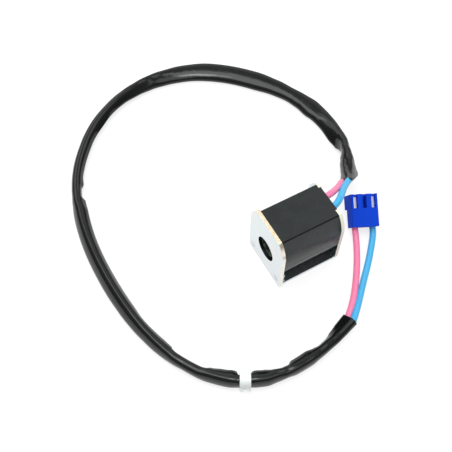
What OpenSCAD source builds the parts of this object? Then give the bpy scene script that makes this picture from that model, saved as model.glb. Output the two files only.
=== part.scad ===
// Reversing valve coil: a moulded solenoid coil in a riveted sheet steel yoke. Two leads leave the
// top of the rear plate, run through a loose black sleeve and end in a three-way plug.
// X runs along the bore from the front plate to the rear plate, Z is up, and the origin is at the
// middle of the yoke's base.

/* [Coil stack] */
// Diameter of the bore that slides over the valve's plunger tube
bore_d = 11; // [9:0.1:14]
// Wall of the bobbin's tube
tube_wall = 0.9; // [0.6:0.1:1.5]
// Radial height of the copper winding
winding_h = 3.2; // [2:0.1:5]
// Thickness of the insulating tape over the winding
tape_t = 0.25; // [0.1:0.05:0.6]
// How far the bobbin's flanges stand above the tape
flange_over = 0.75; // [0.4:0.05:1.5]
// Thickness of the bobbin's flanges
flange_t = 1.2; // [0.8:0.1:2]
// Wall of the moulding outside the flanges
body_wall = 1.1; // [0.8:0.1:2.5]

/* [Moulding] */
// Height of the terminal block above the flanges
block_h = 5.9; // [5.4:0.1:9]
// How far the sides of the moulding draw in towards its top face
body_in = 3.8; // [2:0.1:5]
// Height over which the sides draw in
body_in_h = 13.4; // [8:0.2:15]
// Height of the groove under the top face
groove_h = 0.7; // [0.3:0.1:1.2]
// Depth of that groove
groove_depth = 0.4; // [0.2:0.1:0.8]
// Thickness of the top face above the groove
rim_t = 0.3; // [0.2:0.1:1]

/* [Yoke] */
// Length over the two end plates
yoke_len = 28.6; // [26:0.2:36]
// Width of the end plates
plate_w = 24.6; // [24:0.2:30]
// Thickness of the sheet
sheet_t = 1.5; // [1:0.1:2]
// How far the plates stand above the moulding's top face
plate_proud = 0.4; // [0:0.1:1.5]
// Height of the round shoulders at the top of the plates
shoulder_h = 9.3; // [6:0.1:12]
// How far the shoulders draw in at the top edge
shoulder_in = 3.9; // [2:0.1:5]
// Radius of the front plate's bottom corners
corner_r = 0.8; // [0.2:0.1:1.5]
// How much the web is narrower than the plates, on each side
web_in = 0.6; // [0.2:0.1:1.2]
// Inside radius of the bends
bend_r = 0.6; // [0.4:0.1:1]
// Gap between the moulding and the web
web_gap = 0.7; // [0.4:0.1:2]
// Width of the lead notch in the rear plate
notch_w = 12; // [10:0.2:13]
// Depth of the lead notch
notch_h = 4.3; // [4:0.1:5]
// Diameter of the fixing screw's hole in the rear plate
screw_hole_d = 5.2; // [4:0.1:6.5]

/* [Rivets] */
// Distance of the rivets from the sides of the front plate
rivet_side = 3; // [2.7:0.1:4]
// Diameter of the rivet shank
rivet_d = 2.2; // [1.6:0.1:2.4]
// Diameter of the flush end in the front plate
rivet_flush_d = 2.8; // [2.5:0.1:3.6]
// Diameter of the head behind the ear
rivet_head_d = 2.8; // [2.5:0.1:3.4]
// Height of that head
rivet_head_h = 0.8; // [0.4:0.1:1.2]
// Rim of the ears around the rivet heads
ear_rim = 0.1; // [0:0.05:0.3]

/* [Leads] */
// Diameter of a lead over its insulation
lead_d = 2.8; // [2:0.1:3]
// Diameter of the stranded conductor
strand_d = 1.2; // [0.8:0.1:1.4]
// Distance between the two leads where they leave the moulding
lead_pitch = 5.4; // [4.6:0.1:6]
// How far the pair of leads lies off the middle of the rear plate
lead_shift = -0.5; // [-1:0.1:1]
// Depth of the lead's axis below the top face
lead_depth = 1.8; // [1.7:0.05:2.2]
// Length of insulated lead inside the moulding
lead_in = 4; // [3:0.1:6]
// Length of bare conductor at each end of a lead
strip_len = 2.8; // [2.4:0.1:4]
// Diameter of the terminal pins
pin_d = 0.9; // [0.6:0.1:1.2]
// Free height of a terminal pin above the bobbin's lug
pin_stand = 1.7; // [1.4:0.1:2.4]
// Diameter of a solder joint
solder_d = 2.4; // [2:0.1:2.8]

/* [Sleeve and tie] */
// Wall of the sleeve
sleeve_wall = 0.5; // [0.3:0.1:1]
// Room between the pair of leads and the sleeve
sleeve_room = 0.2; // [0.2:0.05:1]
// Width of the tie's band along the sleeve
tie_w = 4.6; // [2.4:0.1:6]
// Thickness of the band
tie_t = 1; // [0.6:0.1:1.1]

/* [Plug] */
// Distance between neighbouring contacts
contact_pitch = 3.96; // [3.9:0.01:5.08]
// Distance from an outer contact to the side of the housing
plug_edge = 1.94; // [1.8:0.02:3]
// Length of the housing
plug_len = 14; // [12.5:0.1:18]
// Thickness of the housing at the wire end
plug_t = 7; // [5:0.1:9]
// How much thicker the mating end is, on the underside
skirt_drop = 2.6; // [1:0.1:3.5]
// Length of the thick mating end
skirt_len = 6; // [4:0.1:8]
// Radius of the housing's long edges
plug_edge_r = 0.5; // [0.2:0.1:0.8]
// Width of the slots over the contacts
slot_w = 1.8; // [1:0.1:2.4]
// Length of these slots from the mating end
slot_len = 6; // [4:0.1:9]
// Sheet thickness of a crimp contact
contact_t = 0.3; // [0.2:0.05:0.35]

/* [Hidden] */
$fn = 64;

// Overshoot that makes a cut pass clean through a face
cut = 1;
// Gap between a pin or shank and its hole, on the radius
hole_gap = 0.05;
// Gap between pieces that only lie beside each other
side_gap = 0.2;
// Solder between a terminal pin's end and the conductor above it
solder_gap = 0.15;
// Sides of the leads and of the sleeve
lead_sides = 8;
sleeve_sides = 12;
// Fineness of the moulding's and the plates' large arcs
arc_fn = 180;

// Radii of the coil stack, from the bore outwards
tube_r = bore_d / 2 + tube_wall;
winding_r = tube_r + winding_h;
tape_r = winding_r + tape_t;
flange_r = tape_r + flange_over;
body_r = flange_r + body_wall;

// Heights, from the base upwards
bore_z = sheet_t + web_gap + body_r;
body_top = bore_z + flange_r + block_h;
plate_h = body_top + plate_proud;
notch_z = plate_h - notch_h;
lead_z = body_top - lead_depth;
solder_z = lead_z - strand_d / 4;
pin_top = lead_z - strand_d / 2 - solder_gap;
lug_top = pin_top - pin_stand;
lug_bottom = bore_z + tape_r + side_gap;

// Places along the bore
rear_x = yoke_len / 2;
inner_x = rear_x - sheet_t;
body_back = rear_x - plate_proud;
lead_start = body_back - lead_in;
pin_x = lead_start - strip_len / 2;
lug_front = pin_x - solder_d / 2;

// The outer bend and the places of the rivets
bend_out = bend_r + sheet_t;
rivet_y = plate_w / 2 - rivet_side;
rivet_z = bend_out + rivet_head_d / 2;
ear_w = rivet_head_d + 2 * ear_rim;
ear_h = rivet_z + ear_w / 2;
ear_relief = 0.3;

// The two leads: pink first, then blue
lead_y = [lead_shift + lead_pitch / 2, lead_shift - lead_pitch / 2];

// The sleeve holds both leads side by side
pair_gap = 0.1;
pair_off = (lead_d + pair_gap) / 2;
sleeve_in_r = pair_off + lead_d / 2 + sleeve_room;
sleeve_r = sleeve_in_r + sleeve_wall;

// Plug sizes
plug_w = 2 * (contact_pitch + plug_edge);
cavity_w = lead_d + 2 * side_gap;
crimp_end = 2.4;
// Straight stretch of lead before the plug
wire_stub = 3;
// Neck of a contact between its crimp and its box, and how far the box stays behind the plug's face
contact_neck = 0.8;
contact_back = 1;
contact_box_w = cavity_w - 3 * side_gap;
contact_box_from = crimp_end + strip_len + contact_neck;
contact_box_to = plug_len - contact_back;

// Where the plug lies: its lowest corner on the table, and how it is turned and tipped
plug_at = [36.9, -7.2, 0];
plug_turn = -25;
plug_tip = 27.5;
plug_lean = 7;

// Directions of the plug's width, length and thickness
plug_u = turn_z([cos(plug_lean), sin(plug_tip) * sin(plug_lean), -cos(plug_tip) * sin(plug_lean)]);
plug_m = turn_z([0, cos(plug_tip), sin(plug_tip)]);
plug_n = turn_z([sin(plug_lean), -sin(plug_tip) * cos(plug_lean), cos(plug_tip) * cos(plug_lean)]);
function turn_z(v) = [v[0] * cos(plug_turn) - v[1] * sin(plug_turn),
                      v[0] * sin(plug_turn) + v[1] * cos(plug_turn), v[2]];
function plug_point(x, y) = plug_at + (x - plug_w / 2) * plug_u + y * plug_m + plug_t / 2 * plug_n;

// Route of the sleeve from its mouth behind the coil to its mouth before the plug
sleeve_route = [[33, 12, 14], [38.5, 19, 10.5], [44, 27, 7], [47.5, 37, 4.2], [48, 51, 3.8],
                [45.5, 64.5, 3.8], [39.5, 77.5, 3.8], [31, 89, 3.8], [21, 99, 3.8],
                [9.5, 106.5, 3.8], [-5.5, 111, 3.8], [-20, 111, 3.8], [-34.5, 107, 3.8],
                [-47.5, 99, 3.8], [-58, 88.5, 3.8], [-66.5, 75.5, 3.8], [-71.5, 61, 3.8],
                [-74.5, 46, 3.8], [-75.5, 30, 3.8], [-75, 15, 3.8], [-72.5, -2, 3.8],
                [-67.5, -16.5, 3.8], [-60.5, -29, 3.8], [-54.5, -35.5, 4.4], [-50.3, -38.7, 4.8],
                [-43.5, -42.4, 4.8], [-35.5, -45, 4.4], [-23, -45.2, 3.8], [-11, -43.8, 3.8],
                [2.5, -39.5, 3.8]];
// The two points of that route between which the band sits
tie_from = 24;

// Routes of the leads outside the sleeve, from the rear plate and on to the plug
pink_before = [[18.2, 2.8, 27.4], [22, 5.6, 23.7], [25.9, 8.8, 19.1], [29.6, 11.6, 15.2]];
blue_before = [[17.8, -1.6, 28.2], [22.3, 1.9, 25], [27, 5.6, 21.2], [31.4, 8.8, 17.5]];
pink_after = [[7.5, -32.5, 2.4], [14, -26, 1.6], [19.5, -19, 1.5], [23.4, -13, 1.6]];
blue_after = [[10, -35.5, 2.4], [17, -28, 1.6], [24, -21, 1.5], [30.6, -14.2, 1.5]];

// Tangent at a point of a route, and the level direction to its right
function unit(v) = v / norm(v);
function tangent(path, i) = unit(path[min(i + 1, len(path) - 1)] - path[max(i - 1, 0)]);
function right_of(t) = unit(cross(t, [0, 0, 1]));
// A route moved sideways, so that it stays beside the first one
function beside(path, off) = [for (i = [0 : len(path) - 1]) path[i] + off * right_of(tangent(path, i))];
// Rings of points around a route
function rings(path, r, sides) = [for (i = [0 : len(path) - 1])
    let (t = tangent(path, i), s = right_of(t), b = cross(s, t))
    for (k = [0 : sides - 1]) path[i] + r * (cos(360 * k / sides) * s + sin(360 * k / sides) * b)];
// Faces between neighbouring rings, seen from outside or from inside
function skin(first, count, sides, outside) = [for (i = [0 : count - 2]) for (k = [0 : sides - 1])
    let (a = first + i * sides + k, b = first + i * sides + (k + 1) % sides)
    outside ? [a, b, b + sides, a + sides] : [a, a + sides, b + sides, b]];

pink_path = concat([[lead_start, lead_y[0], lead_z], [rear_x, lead_y[0], lead_z]], pink_before,
                   beside(sleeve_route, -pair_off), pink_after,
                   [for (y = [-wire_stub, 0, crimp_end]) plug_point(-contact_pitch, y)]);
blue_path = concat([[lead_start, lead_y[1], lead_z], [rear_x, lead_y[1], lead_z]], blue_before,
                   beside(sleeve_route, pair_off), blue_after,
                   [for (y = [-wire_stub, 0, crimp_end]) plug_point(contact_pitch, y)]);

// A solid cord along a route
module cord(path, d, sides) {
    points = rings(path, d / 2, sides);
    last = (len(path) - 1) * sides;
    caps = [[for (k = [sides - 1 : -1 : 0]) k], [for (k = [0 : sides - 1]) last + k]];
    polyhedron(points, concat(skin(0, len(path), sides, true), caps));
}

// An open tube along a route
module open_tube(path, r_out, r_in, sides) {
    count = len(path);
    inner = count * sides;
    last = (count - 1) * sides;
    near_end = [for (k = [0 : sides - 1]) let (j = (k + 1) % sides) [k, inner + k, inner + j, j]];
    far_end = [for (k = [0 : sides - 1]) let (j = (k + 1) % sides)
               [last + k, last + j, inner + last + j, inner + last + k]];
    polyhedron(concat(rings(path, r_out, sides), rings(path, r_in, sides)),
               concat(skin(0, count, sides, true), skin(inner, count, sides, false), near_end, far_end));
}

// Stands an outline drawn in Y and Z up, from x to x + t
module upright(x, t) {
    translate([x, 0, 0]) rotate([90, 0, 90]) linear_extrude(t) children();
}

// A block with straight sides whose upper corners draw in along arcs that start upright
module shouldered(half_w, top, draw_in, draw_h) {
    arc_r = (draw_in * draw_in + draw_h * draw_h) / (2 * draw_in);
    difference() {
        translate([-half_w, 0]) square([2 * half_w, top]);
        for (side = [-1, 1]) scale([side, 1]) difference() {
            translate([half_w - draw_in - cut, top - draw_h]) square([draw_in + 2 * cut, draw_h + cut]);
            translate([half_w - arc_r, top - draw_h]) circle(arc_r, $fn = arc_fn);
            translate([half_w - draw_in - 2 * cut, 0]) square([2 * cut, top]);
        }
    }
}

module plate_outline() {
    shouldered(plate_w / 2, plate_h, shoulder_in, shoulder_h);
}

// A quarter of a bend in the sheet, in side view, with its centre at the origin
module bend_section() {
    intersection() {
        difference() {
            circle(bend_out);
            circle(bend_r);
        }
        translate([0, -bend_out]) square(bend_out);
    }
}

// A bend of the web up to an end plate or an ear, from y to y + w
module bend_strip(y, w) {
    translate([inner_x - bend_r, y + w, bend_out]) rotate([90, 0, 0]) linear_extrude(w) bend_section();
}

module rivet_ear(side) {
    y = side * rivet_y - ear_w / 2;
    mirror([1, 0, 0]) translate([-sheet_t, 0, 0]) bend_strip(y, ear_w);
    difference() {
        translate([-inner_x, y, bend_out]) cube([sheet_t, ear_w, ear_h - bend_out]);
        translate([-inner_x - cut, side * rivet_y, rivet_z]) rotate([0, 90, 0])
            cylinder(h = sheet_t + 2 * cut, d = rivet_d + 2 * hole_gap);
    }
}

// The web in plan: it reaches the front plate beside the ears, which are bent up between short slits
module web_outline() {
    half_w = plate_w / 2 - web_in;
    bend_line = inner_x - bend_out + sheet_t;
    ear_line = bend_out - inner_x;
    ear_in = rivet_y - ear_w / 2;
    difference() {
        translate([-inner_x, -half_w]) square([inner_x + bend_line, 2 * half_w]);
        for (side = [-1, 1]) scale([1, side]) translate([-inner_x - cut, ear_in - ear_relief])
            square([ear_line + inner_x + cut, ear_w + 2 * ear_relief]);
    }
}

module yoke_bracket() {
    color("lightsteelblue") {
        linear_extrude(sheet_t) web_outline();
        bend_strip(web_in - plate_w / 2, plate_w - 2 * web_in);
        for (side = [-1, 1]) rivet_ear(side);
        difference() {
            upright(inner_x, sheet_t) difference() {
                plate_outline();
                translate([-plate_w, -cut]) square([2 * plate_w, bend_out + cut]);
                translate([-notch_w / 2, notch_z]) square([notch_w, notch_h + cut]);
            }
            translate([inner_x - cut, 0, bore_z]) rotate([0, 90, 0])
                cylinder(h = sheet_t + 2 * cut, d = screw_hole_d);
        }
    }
}

// A rivet along X from the plate's face to the head behind the ear, with extra radius for its hole
module rivet_body(extra) {
    rotate([0, 90, 0]) {
        cylinder(h = sheet_t / 2, r1 = rivet_flush_d / 2 + extra, r2 = rivet_d / 2 + extra);
        cylinder(h = 2 * sheet_t, d = rivet_d + 2 * extra);
    }
}

module front_plate() {
    color("lightsteelblue") difference() {
        upright(-rear_x, sheet_t) difference() {
            plate_outline();
            for (side = [-1, 1]) scale([side, 1]) difference() {
                translate([plate_w / 2 - corner_r, -cut]) square(corner_r + cut);
                translate([plate_w / 2 - corner_r, corner_r]) circle(corner_r);
            }
        }
        translate([-rear_x - cut, 0, bore_z]) rotate([0, 90, 0]) cylinder(h = sheet_t + 2 * cut, d = bore_d);
        for (side = [-1, 1]) translate([-rear_x, side * rivet_y, rivet_z]) rivet_body(hole_gap);
    }
}

module plate_rivets() {
    color("silver") for (side = [-1, 1]) translate([-rear_x, side * rivet_y, rivet_z]) {
        rivet_body(0);
        translate([2 * sheet_t, 0, 0]) rotate([0, 90, 0])
            cylinder(h = rivet_head_h, d1 = rivet_head_d, d2 = rivet_d);
    }
}

module bobbin() {
    color("dimgray") difference() {
        union() {
            rotate([0, 90, 0]) translate([-bore_z, 0, -inner_x]) {
                cylinder(h = 2 * inner_x, r = tube_r);
                cylinder(h = flange_t, r = flange_r);
                translate([0, 0, 2 * inner_x - flange_t]) cylinder(h = flange_t, r = flange_r);
            }
            bobbin_lug(0);
        }
        translate([-inner_x - cut, 0, bore_z]) rotate([0, 90, 0])
            cylinder(h = 2 * (inner_x + cut), d = bore_d);
        for (y = lead_y) terminal_pin_at(y, hole_gap);
    }
}

// The lug on the rear flange that holds the terminal pins
module bobbin_lug(extra) {
    half_w = lead_pitch / 2 + solder_d / 2;
    translate([lug_front - extra, lead_shift - half_w - extra, lug_bottom])
        cube([inner_x - lug_front + extra, 2 * (half_w + extra), lug_top - lug_bottom + extra]);
    translate([inner_x - flange_t, lead_shift - half_w - extra, bore_z + tube_r])
        cube([flange_t, 2 * (half_w + extra), lug_top - bore_z - tube_r + extra]);
}

module winding() {
    color("peru") translate([0, 0, bore_z]) rotate([0, 90, 0]) rotate_extrude()
        translate([tube_r, flange_t - inner_x]) square([winding_h, 2 * (inner_x - flange_t)]);
}

module winding_tape() {
    color("gold") translate([0, 0, bore_z]) rotate([0, 90, 0]) rotate_extrude()
        translate([winding_r, flange_t - inner_x]) square([tape_t, 2 * (inner_x - flange_t)]);
}

module terminal_pin_at(y, extra) {
    foot_z = lug_bottom + side_gap;
    translate([pin_x, y, foot_z]) cylinder(h = pin_top - foot_z, d = pin_d + 2 * extra);
}

module coil_strand_at(y) {
    translate([lead_start - strip_len, y, lead_z]) rotate([0, 90, 0]) cylinder(h = strip_len, d = strand_d);
}

// A drop of solder, widest at the conductor and drawn in along the pin
module solder_drop(y) {
    top_d = solder_d * 0.6;
    foot_d = pin_d * 1.5;
    foot_h = solder_d * 0.45;
    translate([pin_x, y, solder_z]) {
        cylinder(h = solder_d / 2, d1 = solder_d, d2 = top_d);
        mirror([0, 0, 1]) cylinder(h = foot_h, d1 = solder_d, d2 = foot_d);
    }
}

module solder_joint_at(y) {
    color("lightgray") difference() {
        solder_drop(y);
        terminal_pin_at(y, 0);
        coil_strand_at(y);
    }
}

// Outline of the moulding: round below around the winding, drawn in above to its flat top face
module body_outline() {
    translate([0, bore_z]) circle(body_r, $fn = arc_fn);
    intersection() {
        shouldered(body_r, body_top, body_in, body_in_h);
        translate([-body_r, bore_z]) square([2 * body_r, body_top]);
    }
}

// Half width of the moulding at a height in its upper part
function body_half(z) = let (r = (body_in * body_in + body_in_h * body_in_h) / (2 * body_in),
                             up = max(0, z - body_top + body_in_h)) body_r - r + sqrt(r * r - up * up);

module encapsulation() {
    groove_z = body_top - rim_t - groove_h;
    groove_y = body_half(body_top - rim_t) - groove_depth;
    color([0.17, 0.17, 0.18]) difference() {
        union() {
            upright(-inner_x, 2 * inner_x) body_outline();
            // The tongue that fills the rear plate's notch and carries the leads out
            translate([0, side_gap / 2 - notch_w / 2, notch_z + side_gap / 2])
                cube([body_back, notch_w - side_gap, body_top - notch_z - side_gap / 2]);
        }
        for (side = [-1, 1]) scale_y(side) translate([-inner_x - cut, groove_y, groove_z])
            cube([2 * (inner_x + cut), body_r, groove_h]);
        for (side = [-1, 1]) ear_room(side);
        // The room that the bobbin with its winding, lug and terminals takes up
        translate([-inner_x - cut, 0, bore_z]) rotate([0, 90, 0]) {
            cylinder(h = 2 * (inner_x + cut), r = tape_r);
            cylinder(h = flange_t + cut, r = flange_r);
            translate([0, 0, 2 * inner_x + cut - flange_t]) cylinder(h = flange_t + cut, r = flange_r);
        }
        bobbin_lug(hole_gap);
        for (y = lead_y) {
            terminal_pin_at(y, 0);
            coil_strand_at(y);
            solder_drop(y);
            translate([lead_start, y, lead_z]) rotate([0, 90, 0])
                cylinder(h = lead_in + cut, d = lead_d + 2 * hole_gap);
        }
    }
}

module scale_y(side) {
    if (side > 0) children();
    else mirror([0, 1, 0]) children();
}

// Room around an ear of the bracket and its rivet head
module ear_room(side) {
    translate([-inner_x - cut, side * rivet_y - ear_w / 2 - hole_gap, -cut])
        cube([sheet_t + hole_gap + cut, ear_w + 2 * hole_gap, ear_h + hole_gap + cut]);
    translate([-inner_x - cut, side * rivet_y, rivet_z]) rotate([0, 90, 0])
        cylinder(h = cut + sheet_t + rivet_head_h + hole_gap, d = rivet_head_d + 2 * hole_gap);
}

// Puts a piece drawn in the plug's own directions where the plug lies
module in_plug() {
    multmatrix([for (i = [0 : 2]) [plug_u[i], plug_m[i], plug_n[i], plug_point(0, 0)[i]]]) children();
}

// A rectangle around the origin with round corners
module round_rect(w, low, high, r) {
    translate([-w / 2 + r, low]) square([w - 2 * r, high - low]);
    translate([-w / 2, low + r]) square([w, high - low - 2 * r]);
    for (x = [-w / 2 + r, w / 2 - r], z = [low + r, high - r]) translate([x, z]) circle(r);
}

// Extrudes an outline drawn across the plug along its length
module along_plug(from, to) {
    translate([0, to, 0]) rotate([90, 0, 0]) linear_extrude(to - from) children();
}

module connector_housing() {
    half_t = plug_t / 2;
    skirt_from = plug_len - skirt_len;
    lock_w = contact_pitch + cavity_w / 2;
    color("royalblue") in_plug() difference() {
        union() {
            along_plug(0, plug_len) round_rect(plug_w, -half_t, half_t, plug_edge_r);
            along_plug(skirt_from, plug_len) round_rect(plug_w, -half_t - skirt_drop, half_t, plug_edge_r);
        }
        for (i = [-1 : 1]) translate([i * contact_pitch, 0, 0]) {
            translate([-cavity_w / 2, -cut, -cavity_w / 2]) cube([cavity_w, plug_len + 2 * cut, cavity_w]);
            translate([-slot_w / 2, plug_len - slot_len, 0]) cube([slot_w, slot_len + cut, half_t + cut]);
            // Window for the contact's lance in the underside
            translate([-slot_w / 2, crimp_end + strip_len, -half_t - cut])
                cube([slot_w, slot_w, half_t + cut]);
        }
        // Recess for the header's lock between the skirt and the cavities
        translate([-lock_w / 2, skirt_from + skirt_len / 4, -half_t - skirt_drop - cut])
            cube([lock_w, skirt_len, skirt_drop + cut]);
    }
}

// A crimp contact: folded box, strip, and the two barrels that grip conductor and insulation
module contact(place) {
    grip_r = lead_d / 2 + hole_gap / 2;
    barrel_r = strand_d / 2 + hole_gap / 2;
    grip_out = cavity_w / 2 - hole_gap;
    grip_len = lead_d * 0.6;
    strip_t = contact_t * 0.9;
    strip_z = -barrel_r - contact_t;
    riser_h = grip_r + hole_gap + strip_z + strip_t;
    color("gainsboro") in_plug() translate([place, 0, 0]) {
        along_plug(contact_box_from, contact_box_to) difference() {
            square(contact_box_w, center = true);
            square(contact_box_w - 2 * contact_t, center = true);
        }
        along_plug(crimp_end + hole_gap, contact_box_from + contact_t)
            translate([-slot_w / 2, strip_z]) square([slot_w, strip_t]);
        along_plug(crimp_end + strip_len / 4, crimp_end + strip_len * 3 / 4) difference() {
            circle(barrel_r + contact_t);
            circle(barrel_r);
        }
        along_plug(contact_box_from, contact_box_from + contact_t)
            translate([-slot_w / 2, -contact_box_w / 2])
                square([slot_w, contact_box_w / 2 + strip_z + contact_t]);
        along_plug(crimp_end - grip_len, crimp_end + contact_t) difference() {
            circle(grip_out);
            circle(grip_r);
            translate([-grip_len / 2, 0]) square([grip_len, lead_d]);
        }
        along_plug(crimp_end + hole_gap, crimp_end + contact_t)
            translate([-slot_w / 2, -grip_r - hole_gap]) square([slot_w, riser_h]);
    }
}

module strands(y, place) {
    color("darkorange") {
        coil_strand_at(y);
        in_plug() translate([place, crimp_end + strip_len, 0]) rotate([90, 0, 0])
            cylinder(h = strip_len, d = strand_d);
    }
}

module cable_tie() {
    a = sleeve_route[tie_from];
    b = sleeve_route[tie_from + 1];
    ring_in = sleeve_r + hole_gap;
    ring_out = ring_in + tie_t;
    // The tie's head lies low on the near side
    head_h = tie_w * 0.6;
    head_out = tie_t * 1.2;
    head_angle = 35;
    color("white") translate((a + b) / 2) rotate([0, 0, atan2(b[1] - a[1], b[0] - a[0])]) difference() {
        union() {
            rotate([0, 90, 0]) cylinder(h = tie_w, r = ring_out, center = true);
            rotate([head_angle, 0, 0]) translate([-tie_w / 2, -ring_out - head_out, -head_h / 2])
                cube([tie_w, tie_t + head_out, head_h]);
        }
        rotate([0, 90, 0]) cylinder(h = 2 * tie_w, r = ring_in, center = true);
    }
}

yoke_bracket();
front_plate();
plate_rivets();
encapsulation();
bobbin();
winding();
winding_tape();
color("gold") terminal_pin_at(lead_y[0], 0);  // pink_terminal_pin
color("gold") terminal_pin_at(lead_y[1], 0);  // blue_terminal_pin
solder_joint_at(lead_y[0]);  // pink_solder_joint
solder_joint_at(lead_y[1]);  // blue_solder_joint
strands(lead_y[0], -contact_pitch);  // pink_strands
strands(lead_y[1], contact_pitch);  // blue_strands
color("hotpink") cord(pink_path, lead_d, lead_sides);  // pink_lead
color("deepskyblue") cord(blue_path, lead_d, lead_sides);  // blue_lead
color([0.12, 0.12, 0.13]) open_tube(sleeve_route, sleeve_r, sleeve_in_r, sleeve_sides);  // lead_sleeve
cable_tie();
connector_housing();
contact(-contact_pitch);  // pink_contact
contact(contact_pitch);  // blue_contact
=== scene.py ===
"""Looks of a reversing valve coil: steel yoke, black moulding, two leads in a loose sleeve, and their plug."""

import math

import bmesh
import bpy
from mathutils import Euler, Matrix, Vector
from mathutils.geometry import interpolate_bezier


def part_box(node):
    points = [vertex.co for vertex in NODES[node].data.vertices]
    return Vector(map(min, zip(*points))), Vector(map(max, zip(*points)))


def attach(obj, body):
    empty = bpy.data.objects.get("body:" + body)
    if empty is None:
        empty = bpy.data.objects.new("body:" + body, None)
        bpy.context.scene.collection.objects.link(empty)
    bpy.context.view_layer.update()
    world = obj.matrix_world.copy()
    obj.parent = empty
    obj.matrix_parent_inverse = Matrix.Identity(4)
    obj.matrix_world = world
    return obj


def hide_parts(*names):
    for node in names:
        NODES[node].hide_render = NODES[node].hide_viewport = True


bl_info = {
    "name": "Reversing Valve Coil",
    "version": (1, 0, 0),
    "blender": (4, 5, 0),
    "location": "3D View > Sidebar > Coil",
    "description": "Dresses the solids of a reversing valve coil with finished surfaces and cords",
    "category": "Object",
}

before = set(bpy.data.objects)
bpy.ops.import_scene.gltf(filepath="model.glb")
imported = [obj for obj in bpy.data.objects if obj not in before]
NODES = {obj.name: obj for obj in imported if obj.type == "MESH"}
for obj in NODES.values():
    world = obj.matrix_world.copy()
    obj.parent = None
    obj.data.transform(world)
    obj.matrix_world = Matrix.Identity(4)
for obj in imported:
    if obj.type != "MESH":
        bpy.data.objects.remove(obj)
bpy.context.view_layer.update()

# The scene is in metres and the sizes below are in millimetres
MM = 0.001

# The part is one body, and its two leads are named for their colours
BODY = "root"
LEADS = ("pink", "blue")

# How the plug lies: tipped up, leant and turned. A low bar closes each of its slots at the mating end: the bar's width,
# length and height, and how far it lies below the plug's top
PLUG_TILT = Euler([math.radians(a) for a in (27.5, 7, -25)], "YXZ")
SLOT_BAR = (2, 0.8, 0.6)
SLOT_BAR_DEEP = 1.4

# Corners of the CAD copies: triangles within the first angle are one flat face, edges past the second are rounded, and
# edges past the third are shaded as sharp. Points closer than the weld are one
FLAT_ANGLE = math.radians(0.5)
SHARP_ANGLE = math.radians(24)
SMOOTH_ANGLE = math.radians(40)
WELD = 0.001 * MM
# A face of the sheet steel looks along the bore where its normal's X is past this, and each kind of face has its slot
FACING = 0.7
SHEET, EDGE, HOLE = range(3)

# Route of the sleeve, and of each lead before and after it, close to those of the solids
SLEEVE_ROUTE = [(32.8, 11.9, 15.2), (38.5, 19, 10.9), (44, 27, 7), (47.5, 37, 4.2), (48, 51, 3.8),
                (45.5, 64.5, 3.8), (39.5, 77.5, 3.8), (31, 89, 3.8), (21, 99, 3.8), (9.5, 106.5, 3.8),
                (-5.5, 111, 3.8), (-20, 111, 3.8), (-34.5, 107, 3.8), (-47.5, 99, 3.8), (-58, 88.5, 3.8),
                (-66.5, 75.5, 3.8), (-71.5, 61, 3.8), (-74.5, 46, 3.8), (-75.5, 30, 3.8), (-75, 15, 3.8),
                (-72.5, -2, 3.8), (-67.5, -16.5, 3.8), (-60.5, -29, 3.8), (-54.5, -35.5, 4.4),
                (-50.3, -38.7, 4.8), (-43.5, -42.4, 4.8), (-35.5, -45, 4.4), (-23, -45.2, 3.8),
                (-11, -43.8, 3.8), (2.5, -39.5, 3.8)]
PINK_BEFORE = [(9.9, 2.2, 28.6), (14.3, 2.2, 28.6), (17.6, 3.1, 27.4), (22, 5.6, 23.7), (26.3, 8.6, 19.1),
               (29.9, 11.4, 15.2)]
BLUE_BEFORE = [(9.9, -3.2, 28.6), (14.3, -3.2, 28.6), (17.8, -1.6, 28.2), (22.1, 2, 25), (26.5, 5.9, 21.2),
               (30.8, 9.1, 17.5)]
PINK_AFTER = [(8.1, -32.8, 2.4), (14.2, -26.1, 1.6), (19.6, -19.1, 1.5), (23.6, -13.1, 1.6), (26.5, -7.7, 2.8),
              (27.5, -5.2, 4.15), (28.4, -3.3, 5.25)]
BLUE_AFTER = [(9.1, -35, 2.4), (16.7, -27.8, 1.6), (24, -21, 1.5), (30.6, -14.2, 1.5), (33.7, -10.5, 1.9),
              (34.8, -8.1, 3.3), (35.7, -6.2, 4.4)]
# Height of the route where the sleeve lies on the table
ROUTE_REST = 3.8
# The point of the route after which the tie sits
TIE_AT = 24

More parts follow.
